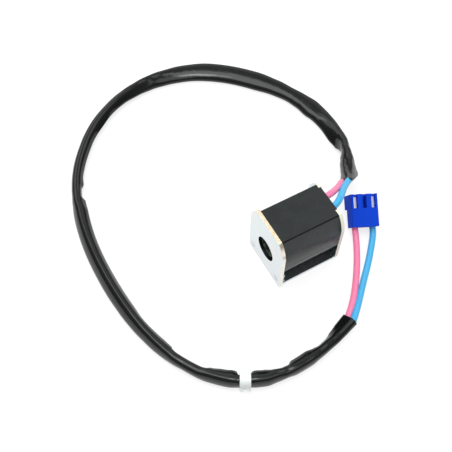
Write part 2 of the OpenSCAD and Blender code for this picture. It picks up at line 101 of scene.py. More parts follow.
# The sleeve's section along its length: an oval around the two leads, and a flap of spare tube beside it. Each row is
# the distance from the mouth behind the coil, half the oval's length, the angle at which the oval stands, the flap's
# reach from the oval's middle, the flap's angle, and how far the oval lies outside the route. Angles start at the
# inside of the loop and turn upwards, in degrees
SLEEVE_SHAPE = [(0, 3.3, 136, 4.6, 180, 0.6), (5, 3.3, 144, 4.3, 180, 0.8), (10, 3.3, 145, 3.8, 180, 0.6),
                (15, 3.3, 140, 3.4, 180, 0.3), (20, 3.4, 115, 2.8, 180, 0.2), (25, 3.3, 80, 0, 180, 1),
                (28, 3.3, 98, 2.8, -15, 1), (30, 3.4, 115, 4, -25, 1), (36, 3.6, 138, 4.3, -25, 0.8),
                (44, 3.8, 160, 4.1, -25, 1), (50, 4.2, 170, 4.1, -15, 0.9), (55, 4.6, 170, 0, 0, 0.7),
                (62, 4, 169, 0, 0, 0.8), (68, 3.7, 168, 0, 0, 0.9), (76, 4.1, 167, 0, 0, 1), (86, 4.7, 166, 0, 0, 1),
                (110, 4.7, 166, 0, 0, 1), (122, 4.3, 165, 0, 0, 1), (132, 3.8, 155, 0, 0, 0.6),
                (140, 3.5, 134, 3.3, 0, 0.4), (148, 3.3, 112, 3.4, 0, 0.3), (156, 3.3, 94, 3, 0, 0.4),
                (165, 3.3, 86, 3, 0, 0.4), (174, 3.3, 84, 3.5, 0, 0.6), (184, 3.3, 82, 3.1, 0, 0.5),
                (190, 3.3, 80, 3.1, 0, 0.4), (200, 3.3, 80, 3, 0, 0.4), (205, 3.3, 82, 2.8, 0, 0.3),
                (210, 3.3, 82, 3.2, 0, 0.3), (215, 3.2, 84, 0, 0, 0.4), (219, 3.3, 76, 3.7, 0, 0.6),
                (225, 3.5, 62, 4.1, 0, 0.5), (245, 3.6, 60, 4, -5, 0.3), (265, 3.6, 62, 4.1, -8, 0.1),
                (276, 3.5, 62, 3.9, -8, 0), (284, 3.4, 64, 3.4, -8, -0.1), (290, 3.3, 68, 3.4, -4, -0.1),
                (296, 3.3, 72, 3.5, 0, 0.1), (301, 3.3, 78, 3.2, 5, 0.2), (305, 3.2, 88, 0, 10, 0.3),
                (310, 3.1, 96, 0, 10, 0.1), (315, 3.1, 92, 0, 15, 0.1), (320, 3.3, 82, 3.2, 15, 0),
                (325, 3.3, 82, 3.9, 15, 0.2), (329, 3.3, 82, 4.2, 15, 0.4), (330.9, 3.2, 84, 3.7, 15, 0.35),
                (331.5, 3.15, 88, 0, 20, 0.4), (335.1, 3.15, 88, 0, 20, 0.4), (336.4, 3.2, 84, 3.5, 15, 0.35),
                (338, 3.3, 82, 4, 15, 0.4), (342, 3.3, 80, 3.8, 15, 0.3), (346, 3.3, 84, 2.7, 15, -0.1),
                (350, 3.1, 96, 0, 15, 0.1), (354, 3.3, 88, 3.5, 15, 0.5), (361, 3.3, 88, 3.7, 15, 0.5),
                (365, 3.3, 96, 2.7, 15, 0.2), (370, 3.1, 106, 0, 0, -0.1), (375, 3.2, 124, 2.9, 10, -0.2),
                (380, 3.3, 136, 3.3, 10, -0.3), (386, 3.3, 150, 3.5, 10, -0.3)]
# The distance between sections, the corners of each, and half the oval's thickness
SLEEVE_STEP = 0.9
SLEEVE_SIDES = 60
OVAL_HALF = 2.2
# Under 1, which is a true oval, the oval is squarer
OVAL_BOX = 0.83
# A higher power makes the flap narrower, and the pinch is the share by which it is pressed flat
FLAP_POWER = 3
FLAP_PINCH = 0.6
# The first mouth is cut aslant, its lower side shorter. Beside the leads it is cut back by a slope that starts this far
# from its middle, and both fade out along the sleeve
MOUTH_TILT = 1.1
MOUTH_SLOPE = 2.2
MOUTH_FROM = 1.8
MOUTH_FADE = 14
# The sleeve's map runs once along it and once around it, so its streaks are about 21 mm long and 1.5 mm wide
STREAKS = (18, 14, 1)

# The leads lie side by side: how far each is from the oval's middle, the distance between its points along the sleeve,
# and how finely it is rounded
PAIR_OFF = 1.43
LEAD_STEP = 2
LEAD_FACETS = 5

# The tie's band and head: the band's sides, the head's turn below the level, stand-out, height, notch and rounding
BAND_SIDES = 64
HEAD_TURN = 35
HEAD_OUT = 0.7
HEAD_HIGH = 2.8
HEAD_NOTCH = 0.8
TIE_ROUND = 0.25

# The camera: its picture's side and focal length in pixels, its sensor's width in millimetres, where it looks, from
# which side and how high, and how far off
PHOTO_SIDE = 452
FOCAL_PIXELS = 700
SENSOR = 36
LOOK_AT = Vector((-19.06, 24.28, 0)) * MM
HEADING = math.radians(-28.95)
ELEVATION = math.radians(59.39)
DISTANCE = 304.35 * MM

# Soft lamps: name, heading from the camera's side in degrees, elevation, distance, size in metres, power in watts
LAMPS = [("overhead_lamp", 0, 84, 0.8, 0.24, 1.1), ("overhead_softbox", -110, 79, 0.8, 0.5, 2.3),
         ("far_left_softbox", -140, 46, 0.8, 0.5, 1), ("far_right_softbox", 130, 48, 0.8, 0.5, 1),
         ("near_fill", 32, 60, 0.8, 0.5, 1)]
# The sky's brightness at the horizon and overhead, and what the paler wall behind the object adds
SKY_LOW = 0.12
SKY_HIGH = 0.5
SKY_FAR = 1
# Half the floor's width in metres, and the glow and the grey that together make it white where it is lit
FLOOR_HALF = 6
FLOOR_GLOW = 0.76
FLOOR_SHADE = 0.3

# Sockets of a Mix node on colours, whose names repeat: its factor, its two colours and its result
FACTOR, FIRST, SECOND, MIXED = 0, 6, 7, 2
# A wave texture of scale 1 runs through this many radians in a metre
WAVE_RADIANS = 20


def linear(text):
    """Linear red, green and blue of an sRGB hex colour."""
    parts = [int(text[i:i + 2], 16) / 255 for i in (1, 3, 5)]
    return [c / 12.92 if c <= 0.04045 else ((c + 0.055) / 1.055) ** 2.4 for c in parts]


def colour(name, text, where):
    """A colour property with its sRGB default."""
    return bpy.props.FloatVectorProperty(name=name, description=where, subtype="COLOR", size=3, min=0, max=1,
                                         default=linear(text))


def length(name, value, what):
    """A length property whose default is given in millimetres."""
    return bpy.props.FloatProperty(name=name, description=what, default=value * MM, min=0, subtype="DISTANCE",
                                   unit="LENGTH", precision=5)


class CoilSizes(bpy.types.PropertyGroup):
    """Sizes of the finished edges and cords."""

    sheet_edge: length("Sheet edge", 0.12, "Rounding of the sheet steel's sheared edges")
    moulding_edge: length("Moulding edge", 0.117, "Rounding of the moulding's edges")
    plug_edge: length("Plug edge", 0.1, "Rounding of the plug housing's edges")
    contact_edge: length("Contact edge", 0.06, "Rounding of the contacts' sheet edges")
    lead_d: length("Lead diameter", 2.8, "Diameter of a lead over its insulation")
    sleeve_d: length("Sleeve diameter", 7.1, "Diameter of the sleeve where it is round")
    sleeve_wall: length("Sleeve wall", 0.5, "Wall of the sleeve")
    tie_w: length("Tie width", 4.3, "Width of the tie's band along the sleeve")
    tie_t: length("Tie thickness", 0.6, "Thickness of the tie's band")


class CoilColours(bpy.types.PropertyGroup):
    """Colours of the finishes."""

    zinc: colour("Zinc", "#D5DDE0", "Bluish silver of the plated sheet")
    zinc_warm: colour("Zinc, yellow film", "#E8E2CC", "Yellow patches of the passivation film")
    zinc_violet: colour("Zinc, violet film", "#DAD8EA", "Violet patches of the passivation film")
    zinc_green: colour("Zinc, green film", "#CCE3D4", "Green patches of the passivation film")
    # Painted light: the sheared edges take the next two tints where they face up, and the cream below at the sides
    edge_up_painted: colour("Cut edge, top", "#F8DCB4", "Gold of the sheared edges that face up")
    edge_rear: colour("Cut edge, rear", "#EFF4DC", "Pale olive of the rear plate's sheared edges")
    # Painted shade: the hole's wall is dark for the shade in the bore
    hole_shade: colour("Hole wall", "#3A3D3F", "Dark wall of the punched hole")
    edge_cream: colour("Cut edge, side", "#F6F1E4", "Cream of the sheared edges at the sides")
    rivet: colour("Rivet", "#D2D7DA", "Grey of the pressed rivet ends")
    moulding: colour("Moulding", "#2E3131", "Black of the moulded coil body")
    speck: colour("Speck", "#9A9A98", "Pale grey of the moulding's rubbed specks")
    bobbin: colour("Bobbin", "#5A645C", "Greenish grey of the bobbin's clouds")
    copper: colour("Enamelled copper", "#A4501F", "Red brown of the enamelled wire")
    tape: colour("Tape", "#D9B54A", "Amber of the winding's film tape")
    brass: colour("Brass", "#D9BC6B", "Yellow of the terminal pins")
    solder: colour("Solder", "#C8CBCE", "Grey of the solder")
    strand: colour("Bare copper", "#C9793F", "Bare copper strands")
    pink: colour("Pink lead", "#FD86AE", "Pink insulation")
    blue: colour("Blue lead", "#46B3E6", "Light blue insulation")
    sleeve: colour("Sleeve", "#0E1010", "Black vinyl of the sleeve")
    tie: colour("Tie", "#EAF0EE", "White nylon of the tie")
    plug: colour("Plug", "#1745CC", "Blue nylon of the plug")
    tin: colour("Tin", "#F4F5F6", "Bright tin of the contacts")
    floor: colour("Floor", "#E8E8E8", "Pale floor")


def sizes():
    """The scene's sizes."""
    return bpy.context.scene.coil_sizes


def colours():
    """The scene's colours."""
    return bpy.context.scene.coil_colours


def rgba(value):
    """A colour property as the four numbers of a shader socket."""
    return (*value, 1)


def per_metre(size):
    """Scale of a pattern whose features are that many millimetres apart."""
    return 1 / (size * MM)


def fill(tree, node, inputs):
    """Fills a node's inputs with values or with links from other nodes' sockets."""
    for name, value in inputs.items():
        if isinstance(value, bpy.types.NodeSocket):
            tree.links.new(value, node.inputs[name])
        else:
            node.inputs[name].default_value = value


def add(tree, kind, inputs=None, **settings):
    """Adds a node with its settings and its inputs."""
    made = tree.nodes.new(kind)
    for name, value in settings.items():
        setattr(made, name, value)
    fill(tree, made, inputs or {})
    return made


def new_material(name, sockets):
    """A material with its shader's constant sockets set, with its node tree, shader and object coordinates."""
    made = bpy.data.materials.new(name)
    made.use_nodes = True
    tree = made.node_tree
    shader = tree.nodes["Principled BSDF"]
    fill(tree, shader, sockets)
    place = add(tree, "ShaderNodeTexCoord").outputs["Object"]
    return made, tree, shader, place


def zinc_sheet():
    """Zinc plated, passivated sheet steel, cold rolled: a bright silver with a thin film in faint colours."""
    made, tree, shader, place = new_material("passivated_zinc_sheet", {"Metallic": 1})
    c = colours()
    broad = add(tree, "ShaderNodeTexNoise", {"Vector": place, "Scale": per_metre(11), "Detail": 2})
    patch = add(tree, "ShaderNodeTexNoise", {"Vector": place, "Scale": per_metre(7), "Detail": 3, "Distortion": 0.6})
    # The film: yellow and violet swap over the broad patches, and green comes in on the strongest of them
    warm = add(tree, "ShaderNodeMix", {FACTOR: broad.outputs["Fac"], FIRST: rgba(c.zinc_warm),
                                       SECOND: rgba(c.zinc_violet)}, data_type="RGBA")
    film = add(tree, "ShaderNodeMapRange", {"Value": patch.outputs["Fac"], "From Min": 0.5, "From Max": 0.72,
                                            "To Max": 0.9})
    tinted = add(tree, "ShaderNodeMix", {FACTOR: film.outputs["Result"], FIRST: rgba(c.zinc),
                                         SECOND: warm.outputs[MIXED]}, data_type="RGBA")
    green = add(tree, "ShaderNodeMapRange", {"Value": broad.outputs["Fac"], "From Min": 0.55, "From Max": 0.75,
                                             "To Max": 0.6})
    final = add(tree, "ShaderNodeMix", {FACTOR: green.outputs["Result"], FIRST: tinted.outputs[MIXED],
                                        SECOND: rgba(c.zinc_green)}, data_type="RGBA")
    # Rolling leaves a fine grain, drawn 0.5 mm apart because the real one is too fine to show
    grain = add(tree, "ShaderNodeTexNoise", {"Vector": place, "Scale": per_metre(0.5), "Detail": 3})
    uneven = add(tree, "ShaderNodeMapRange", {"Value": grain.outputs["Fac"], "To Min": 0.13, "To Max": 0.22})
    bump = add(tree, "ShaderNodeBump", {"Height": grain.outputs["Fac"], "Strength": 0.1, "Distance": 0.01 * MM})
    fill(tree, shader, {"Base Color": final.outputs[MIXED], "Roughness": uneven.outputs["Result"],
                        "Normal": bump.outputs["Normal"]})
    return made


def sheared_edge(name, upper, metal):
    """Sheared edge of the plated sheet, rougher than its faces: painted light, one tint facing up and cream at the
    sides.
    """
    made, tree, shader, place = new_material(name, {"Metallic": metal})
    # Painted light: the colour follows which way the edge faces, the upper tint where it looks up and cream at the
    # sides
    facing = add(tree, "ShaderNodeSeparateXYZ", {"Vector": add(tree, "ShaderNodeNewGeometry").outputs["Normal"]})
    upward = add(tree, "ShaderNodeMapRange", {"Value": facing.outputs["Z"], "From Min": 0.35, "From Max": 0.85})
    patch = add(tree, "ShaderNodeTexNoise", {"Vector": place, "Scale": per_metre(2.2), "Detail": 3})
    spread = add(tree, "ShaderNodeMapRange", {"Value": patch.outputs["Fac"], "From Min": 0.3, "From Max": 0.65,
                                              "To Min": 0.35, "To Max": 1})
    tint = add(tree, "ShaderNodeMath", {0: upward.outputs["Result"], 1: spread.outputs["Result"]},
               operation="MULTIPLY")
    base = add(tree, "ShaderNodeMix", {FACTOR: tint.outputs["Value"], FIRST: rgba(colours().edge_cream),
                                       SECOND: rgba(upper)}, data_type="RGBA")
    # The shear's score lines run across the sheet, about 0.4 mm apart
    across = add(tree, "ShaderNodeMapping", {"Vector": place, "Scale": (0.1, 1, 1)})
    score = add(tree, "ShaderNodeTexNoise", {"Vector": across.outputs["Vector"], "Scale": per_metre(0.4), "Detail": 2})
    uneven = add(tree, "ShaderNodeMapRange", {"Value": score.outputs["Fac"], "To Min": 0.2, "To Max": 0.38})
    bump = add(tree, "ShaderNodeBump", {"Height": score.outputs["Fac"], "Strength": 0.3, "Distance": 0.04 * MM})
    fill(tree, shader, {"Base Color": base.outputs[MIXED], "Roughness": uneven.outputs["Result"],
                        "Normal": bump.outputs["Normal"]})
    return made


def plain_metal(name, base, rough, grain, dent, metal=1):
    """A bare or plated metal: one colour that drifts a little, with a grain and dents of so many millimetres."""
    made, tree, shader, place = new_material(name, {"Metallic": metal})
    noise = add(tree, "ShaderNodeTexNoise", {"Vector": place, "Scale": per_metre(grain), "Detail": 4})
    shade = add(tree, "ShaderNodeMapRange", {"Value": noise.outputs["Fac"], "To Min": 0.82, "To Max": 1.1})
    tone = add(tree, "ShaderNodeHueSaturation", {"Value": shade.outputs["Result"], "Color": rgba(base)})
    uneven = add(tree, "ShaderNodeMapRange", {"Value": noise.outputs["Fac"], "To Min": rough[0], "To Max": rough[1]})
    bump = add(tree, "ShaderNodeBump", {"Height": noise.outputs["Fac"], "Strength": 0.3, "Distance": dent * MM})
    fill(tree, shader, {"Base Color": tone.outputs["Color"], "Roughness": uneven.outputs["Result"],
                        "Normal": bump.outputs["Normal"]})
    return made


def moulded_plastic(name, base, shine, rough, grit, cloud, drift, depth):
    """A moulded plastic: a fine grit in the gloss, and broad soft clouds in which the colour's shade drifts."""
    made, tree, shader, place = new_material(name, {"IOR": 1.5, "Specular IOR Level": shine})
    fine = add(tree, "ShaderNodeTexNoise", {"Vector": place, "Scale": per_metre(grit), "Detail": 3})
    broad = add(tree, "ShaderNodeTexNoise", {"Vector": place, "Scale": per_metre(cloud), "Detail": 3})
    shade = add(tree, "ShaderNodeMapRange", {"Value": broad.outputs["Fac"], "To Min": 1 - drift,
                                             "To Max": 1 + drift})
    tone = add(tree, "ShaderNodeHueSaturation", {"Value": shade.outputs["Result"], "Color": rgba(base)})
    mixed = add(tree, "ShaderNodeMix", {"Factor": 0.5, "A": fine.outputs["Fac"], "B": broad.outputs["Fac"]})
    uneven = add(tree, "ShaderNodeMapRange", {"Value": mixed.outputs["Result"], "From Min": 0.3, "From Max": 0.7,
                                              "To Min": rough[0], "To Max": rough[1]})
    bump = add(tree, "ShaderNodeBump", {"Height": fine.outputs["Fac"], "Strength": 0.2, "Distance": depth * MM})
    fill(tree, shader, {"Base Color": tone.outputs["Color"], "Roughness": uneven.outputs["Result"],
                        "Normal": bump.outputs["Normal"]})
    return made


def black_moulding():
    """Glass filled nylon, moulded: satin black, a little mottled by the mould, with pale rubbed specks and painted
    light on its sides.
    """
    made, tree, shader, place = new_material("moulded_black_nylon", {"IOR": 1.5, "Specular IOR Level": 0.14})
    c = colours()
    fine = add(tree, "ShaderNodeTexNoise", {"Vector": place, "Scale": per_metre(0.35), "Detail": 3})
    broad = add(tree, "ShaderNodeTexNoise", {"Vector": place, "Scale": per_metre(6), "Detail": 3})
    # The specks lie about 2.6 mm apart, only on some of the broad patches
    speck = add(tree, "ShaderNodeTexVoronoi", {"Vector": place, "Scale": per_metre(2.6), "Randomness": 1})
    dust = add(tree, "ShaderNodeMapRange", {"Value": speck.outputs["Distance"], "From Min": 0.05, "From Max": 0.12,
                                            "To Min": 1, "To Max": 0})
    rare = add(tree, "ShaderNodeMapRange", {"Value": broad.outputs["Fac"], "From Min": 0.5, "From Max": 0.62,
                                            "To Max": 0.16})
    pale = add(tree, "ShaderNodeMath", {0: dust.outputs["Result"], 1: rare.outputs["Result"]}, operation="MULTIPLY")
    mottle = add(tree, "ShaderNodeMapRange", {"Value": broad.outputs["Fac"], "To Min": 0.8, "To Max": 1.2})
    # Painted light: the sides are painted paler than the top, up to twice as bright, as the light falls on them
    facing = add(tree, "ShaderNodeSeparateXYZ", {"Vector": add(tree, "ShaderNodeNewGeometry").outputs["Normal"]})
    painted_side_light = add(tree, "ShaderNodeMapRange", {"Value": facing.outputs["Z"], "From Min": 0.4, "From Max": 0.9,
                                             "To Min": 2, "To Max": 1})
    shade = add(tree, "ShaderNodeMath", {0: mottle.outputs["Result"], 1: painted_side_light.outputs["Result"]},
                operation="MULTIPLY")
    tone = add(tree, "ShaderNodeHueSaturation", {"Value": shade.outputs["Value"], "Color": rgba(c.moulding)})
    base = add(tree, "ShaderNodeMix", {FACTOR: pale.outputs["Value"], FIRST: tone.outputs["Color"],
                                       SECOND: rgba(c.speck)}, data_type="RGBA")
    uneven = add(tree, "ShaderNodeMapRange", {"Value": broad.outputs["Fac"], "From Min": 0.3, "From Max": 0.7,
                                              "To Min": 0.24, "To Max": 0.32})
    bump = add(tree, "ShaderNodeBump", {"Height": fine.outputs["Fac"], "Strength": 0.12, "Distance": 0.01 * MM})
    fill(tree, shader, {"Base Color": base.outputs[MIXED], "Roughness": uneven.outputs["Result"],
                        "Normal": bump.outputs["Normal"]})
    return made


def sleeve_vinyl():
    """Soft black vinyl tube: glossy, with streaks along it from the extruder and small creases 5 mm apart."""
    made, tree, shader, place = new_material("soft_black_vinyl", {"IOR": 1.45, "Base Color": rgba(colours().sleeve)})
    wrap = add(tree, "ShaderNodeUVMap", uv_map="UVMap").outputs["UV"]
    along = add(tree, "ShaderNodeMapping", {"Vector": wrap, "Scale": STREAKS})
    streak = add(tree, "ShaderNodeTexNoise", {"Vector": along.outputs["Vector"], "Scale": 1, "Detail": 3})
    uneven = add(tree, "ShaderNodeMapRange", {"Value": streak.outputs["Fac"], "From Min": 0.3, "From Max": 0.7,
                                              "To Min": 0.08, "To Max": 0.2})
    crease = add(tree, "ShaderNodeTexNoise", {"Vector": place, "Scale": per_metre(5), "Detail": 2})
    bump = add(tree, "ShaderNodeBump", {"Height": crease.outputs["Fac"], "Strength": 0.25, "Distance": 0.35 * MM})
    fill(tree, shader, {"Roughness": uneven.outputs["Result"], "Normal": bump.outputs["Normal"]})
    return made


def insulation(name, base):
    """Extruded vinyl insulation: softly glossy, with faint marks along it and light that sinks in a little."""
    made, tree, shader, place = new_material(name, {"IOR": 1.5, "Subsurface Weight": 0.15,
                                                    "Subsurface Scale": 0.4 * MM})
    noise = add(tree, "ShaderNodeTexNoise", {"Vector": place, "Scale": per_metre(2.5), "Detail": 3})
    shade = add(tree, "ShaderNodeMapRange", {"Value": noise.outputs["Fac"], "To Min": 0.92, "To Max": 1.08})
    tone = add(tree, "ShaderNodeHueSaturation", {"Value": shade.outputs["Result"], "Color": rgba(base)})
    uneven = add(tree, "ShaderNodeMapRange", {"Value": noise.outputs["Fac"], "To Min": 0.38, "To Max": 0.55})
    bump = add(tree, "ShaderNodeBump", {"Height": noise.outputs["Fac"], "Strength": 0.15, "Distance": 0.05 * MM})
    fill(tree, shader, {"Base Color": tone.outputs["Color"], "Roughness": uneven.outputs["Result"],
                        "Normal": bump.outputs["Normal"]})
    return made


def wound(name, base, pitch, metal, rough, depth):
    """Wire or tape wound round the bore: bands along X with painted shade, drawn some six times the pitch apart so that
    they show.
    """
    made, tree, shader, place = new_material(name, {"Metallic": metal})
    turns = add(tree, "ShaderNodeTexWave", {"Vector": place, "Scale": per_metre(pitch) / WAVE_RADIANS,
                                            "Distortion": 0.4, "Detail": 1}, wave_type="BANDS", bands_direction="X")
    # Painted shade: the valleys between the turns are painted darker and the crowns paler
    shade = add(tree, "ShaderNodeMapRange", {"Value": turns.outputs["Fac"], "To Min": 0.55, "To Max": 1.1})
    tone = add(tree, "ShaderNodeHueSaturation", {"Value": shade.outputs["Result"], "Color": rgba(base)})
    # The crowns of the turns are smoother than the valleys between them
    uneven = add(tree, "ShaderNodeMapRange", {"Value": turns.outputs["Fac"], "To Min": rough[1], "To Max": rough[0]})
    bump = add(tree, "ShaderNodeBump", {"Height": turns.outputs["Fac"], "Strength": 0.6, "Distance": depth * MM})
    fill(tree, shader, {"Base Color": tone.outputs["Color"], "Roughness": uneven.outputs["Result"],
                        "Normal": bump.outputs["Normal"]})
    return made


def finish_piece(name, shape, materials, slot, *nodes):
    """Makes a bmesh an object that rides on the part and stands for CAD nodes."""
    mesh = bpy.data.meshes.new(name)
    shape.to_mesh(mesh)
    shape.free()
    piece = bpy.data.objects.new(name, mesh)
    bpy.context.scene.collection.objects.link(piece)
    for item in materials:
        mesh.materials.append(item)
    mesh.shade_smooth()
    mesh.set_sharp_from_angle(angle=SMOOTH_ANGLE)
    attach(piece, BODY)
    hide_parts(*nodes)
    return piece


def even_normals(piece):
    """Large flat faces keep their own shading next to their rounded edges."""
    modifier = piece.modifiers.new("even_normals", "WEIGHTED_NORMAL")
    modifier.keep_sharp = True


def merged_copy(node):
    """A copy of a CAD node with its triangles joined into flat faces."""
    shape = bmesh.new()
    shape.from_mesh(NODES[node].data)
    bmesh.ops.remove_doubles(shape, verts=shape.verts, dist=WELD)
    bmesh.ops.dissolve_limit(shape, angle_limit=FLAT_ANGLE, verts=shape.verts, edges=shape.edges)
    for face in shape.faces:
        face.material_index = 0
    return shape


def round_edges(shape, reach, segments=2):
    """Rounds every sharp edge."""
    sharp = [e for e in shape.edges if e.is_manifold and e.calc_face_angle(0) > SHARP_ANGLE]
    bmesh.ops.bevel(shape, geom=sharp, offset=reach, offset_type="OFFSET", segments=segments, profile=0.5,
                    affect="EDGES", material=-1, clamp_overlap=True)


def smooth_line(points, step):
    """Points about a step apart on one smooth curve through the given ones."""
    line = []
    for i in range(len(points) - 1):
        here, there = points[i], points[i + 1]
        back, ahead = points[max(i - 1, 0)], points[min(i + 2, len(points) - 1)]
        count = max(2, round((there - here).length / step))
        line += interpolate_bezier(here, here + (there - back) / 6, there - (ahead - here) / 6, there, count + 1)[:-1]
    return line + [points[-1]]


def metres(points):
    """Points in millimetres as vectors in metres."""
    return [Vector(p) * MM for p in points]


def shape_at(distance):
    """The sleeve's row of shape values at a distance from its first mouth, eased from row to row."""
    for before, after in zip(SLEEVE_SHAPE, SLEEVE_SHAPE[1:]):
        if distance <= after[0]:
            break
    part = min(1, max(0, (distance - before[0]) / (after[0] - before[0])))
    part = part * part * (3 - 2 * part)
    return [a + (b - a) * part for a, b in zip(before[1:], after[1:])]


def oval(half, high, turn):
    """A point on the outline of an oval with squarer corners, from its two half widths."""
    across, over = math.cos(turn), math.sin(turn)
    return Vector((half * math.copysign(abs(across) ** OVAL_BOX, across),
                   high * math.copysign(abs(over) ** OVAL_BOX, over)))


class SleeveStation:
    """A place along the sleeve: the middle of its oval, its directions, and the outline of its section."""

    def __init__(self, point, tangent, distance):
        self.half, stand, reach, lean, side = shape_at(distance)
        self.stand = math.radians(stand)
        self.lean = math.radians(lean)
        self.spare = max(0, reach - max(self.bare(k).x for k in range(SLEEVE_SIDES)))
        self.tangent = tangent
        self.inward = Vector((0, 0, 1)).cross(tangent).normalized()
        self.upward = tangent.cross(self.inward)
        lowest = min(self.outline(k)[1] for k in range(SLEEVE_SIDES)) * self.upward.z
        lift = max(0, point.z / MM - ROUTE_REST)
        self.middle = Vector((point.x, point.y, (lift - lowest) * MM)) - self.inward * side * MM

    def bare(self, corner):
        """A corner of the oval without its flap, as millimetres along the flap and across it."""
        spot = oval(self.half, OVAL_HALF, math.tau * corner / SLEEVE_SIDES)
        spot.rotate(Matrix.Rotation(self.stand - self.lean, 2))
        return spot

    def outline(self, corner):
        """A corner of the section's outline, as millimetres inward and upward from the oval's middle."""
        spot = self.bare(corner)
        # Drawn out along the flap and pressed flat across it
        weight = max(0, spot.normalized().x) ** FLAP_POWER
        spot = Vector((spot.x + self.spare * weight, spot.y * (1 - FLAP_PINCH * weight * min(1, self.spare))))
        spot.rotate(Matrix.Rotation(self.lean, 2))
        return spot

    def at(self, spot):
        """A place in the section, from millimetres inward and upward."""
        return self.middle + (self.inward * spot[0] + self.upward * spot[1]) * MM


def sleeve_stations(step):
    """Stations about a step apart along the sleeve, with their distances from its first mouth in millimetres."""
    line = smooth_line(metres(SLEEVE_ROUTE), step * MM)
    stations = []
    distance = 0
    for i, point in enumerate(line):
        if i:
            distance += (point - line[i - 1]).length / MM
        tangent = (line[min(i + 1, len(line) - 1)] - line[max(i - 1, 0)]).normalized()
        stations.append((distance, SleeveStation(point, tangent, distance)))
    return stations


class COIL_OT_front_plate(bpy.types.Operator):
    """Dress the front plate and the rivets that hold it"""

    bl_idname = "coil.front_plate"
    bl_label = "Front plate and rivets"

    def execute(self, context):
        c = colours()
        sheet = merged_copy("front_plate")
        low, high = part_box("winding")
        axis = (low + high) / 2
        for face in sheet.faces:
            # The hole is narrower than the winding behind it, and the plate's outline is wider
            in_hole = (face.calc_center_median() - axis).yz.length < (high.z - low.z) / 2
            on_face = abs(face.normal.x) > FACING
            face.material_index = SHEET if on_face else HOLE if in_hole else EDGE
        round_edges(sheet, sizes().sheet_edge)
        # The front plate's edges are painted by which way they face, gold where they look up
        painted_up_edge = sheared_edge("sheared_edge_painted_up", c.edge_up_painted, metal=0.85)
        # Painted shade: the hole's wall is dark grey, standing for the shade inside the bore
        punched = plain_metal("hole_painted_shade", c.hole_shade, rough=(0.35, 0.55), grain=0.5, dent=0.03)
        even_normals(finish_piece("front_plate_sheet", sheet, [zinc_sheet(), painted_up_edge, punched], "zinc_plated_steel",
                                  "front_plate"))
        rivets = merged_copy("plate_rivets")
        round_edges(rivets, sizes().sheet_edge)
        # Rivet ends, pressed flush: duller than the plate and dented by the press
        grey = plain_metal("pressed_rivet_steel", c.rivet, rough=(0.3, 0.45), grain=0.7, dent=0.02)
        even_normals(finish_piece("rivet_ends", rivets, [grey], "rivet_steel", "plate_rivets"))
        return {"FINISHED"}


class COIL_OT_bracket(bpy.types.Operator):
    """Dress the bent bracket: the web under the coil, the rear plate and the ears"""

    bl_idname = "coil.bracket"
    bl_label = "Yoke bracket"

    def execute(self, context):
        sheet = merged_copy("yoke_bracket")
        web_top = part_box("encapsulation")[0].z
        for face in sheet.faces:
            middle = face.calc_center_median()
            on_rear_plate = middle.z > web_top and middle.x > 0
            face.material_index = EDGE if on_rear_plate and abs(face.normal.x) < FACING else SHEET
        round_edges(sheet, sizes().sheet_edge)
        zinc = bpy.data.materials["passivated_zinc_sheet"]
        # The rear plate's edges are painted by which way they face too, pale olive where they look up
        pale = sheared_edge("sheared_pale_edge", colours().edge_rear, metal=0)
        even_normals(finish_piece("bracket_sheet", sheet, [zinc, pale], "zinc_plated_steel", "yoke_bracket"))
        return {"FINISHED"}


class COIL_OT_moulding(bpy.types.Operator):
    """Dress the black moulding around the winding"""

    bl_idname = "coil.moulding"
    bl_label = "Moulding"

    def execute(self, context):
        shape = merged_copy("encapsulation")
        round_edges(shape, sizes().moulding_edge)
        even_normals(finish_piece("coil_moulding", shape, [black_moulding()], "black_moulding", "encapsulation"))
        return {"FINISHED"}


class COIL_OT_inner_parts(bpy.types.Operator):
    """Finish the bobbin, the winding, its tape, and the terminals inside the moulding"""

    bl_idname = "coil.inner_parts"
    bl_label = "Inner parts"

    def execute(self, context):
        c = colours()
        # Moulded nylon of the bobbin, whose tube shows in the bore with strong clouds of light and dark
        bobbin = moulded_plastic("moulded_bobbin_nylon", c.bobbin, shine=0.5, rough=(0.25, 0.5), grit=0.6, cloud=1.8,
                                 drift=3, depth=0.1)
        # Enamelled wire 0.3 mm thick, film tape whose turns overlap every 6 mm, and bare strands 0.25 mm thick
        wire = wound("enamelled_copper_wire", c.copper, pitch=0.3, metal=0.9, rough=(0.25, 0.5), depth=0.1)
        tape = wound("polyester_film_tape", c.tape, pitch=6, metal=0, rough=(0.25, 0.4), depth=0.05)
        strand = wound("bare_copper_strands", c.strand, pitch=0.25, metal=1, rough=(0.25, 0.45), depth=0.06)
        # Drawn pins with a fine sheen, and solder with a softly uneven skin
        brass = plain_metal("drawn_brass", c.brass, rough=(0.2, 0.35), grain=0.3, dent=0.01)
        solder = plain_metal("bright_solder", c.solder, rough=(0.2, 0.4), grain=0.8, dent=0.08)
        finishes = {"bobbin": bobbin, "winding": wire, "winding_tape": tape}
        for lead in LEADS:
            finishes |= {f"{lead}_terminal_pin": brass, f"{lead}_solder_joint": solder, f"{lead}_strands": strand}
        for node, finish in finishes.items():
            mesh = NODES[node].data
            mesh.materials.clear()
            mesh.materials.append(finish)
        return {"FINISHED"}


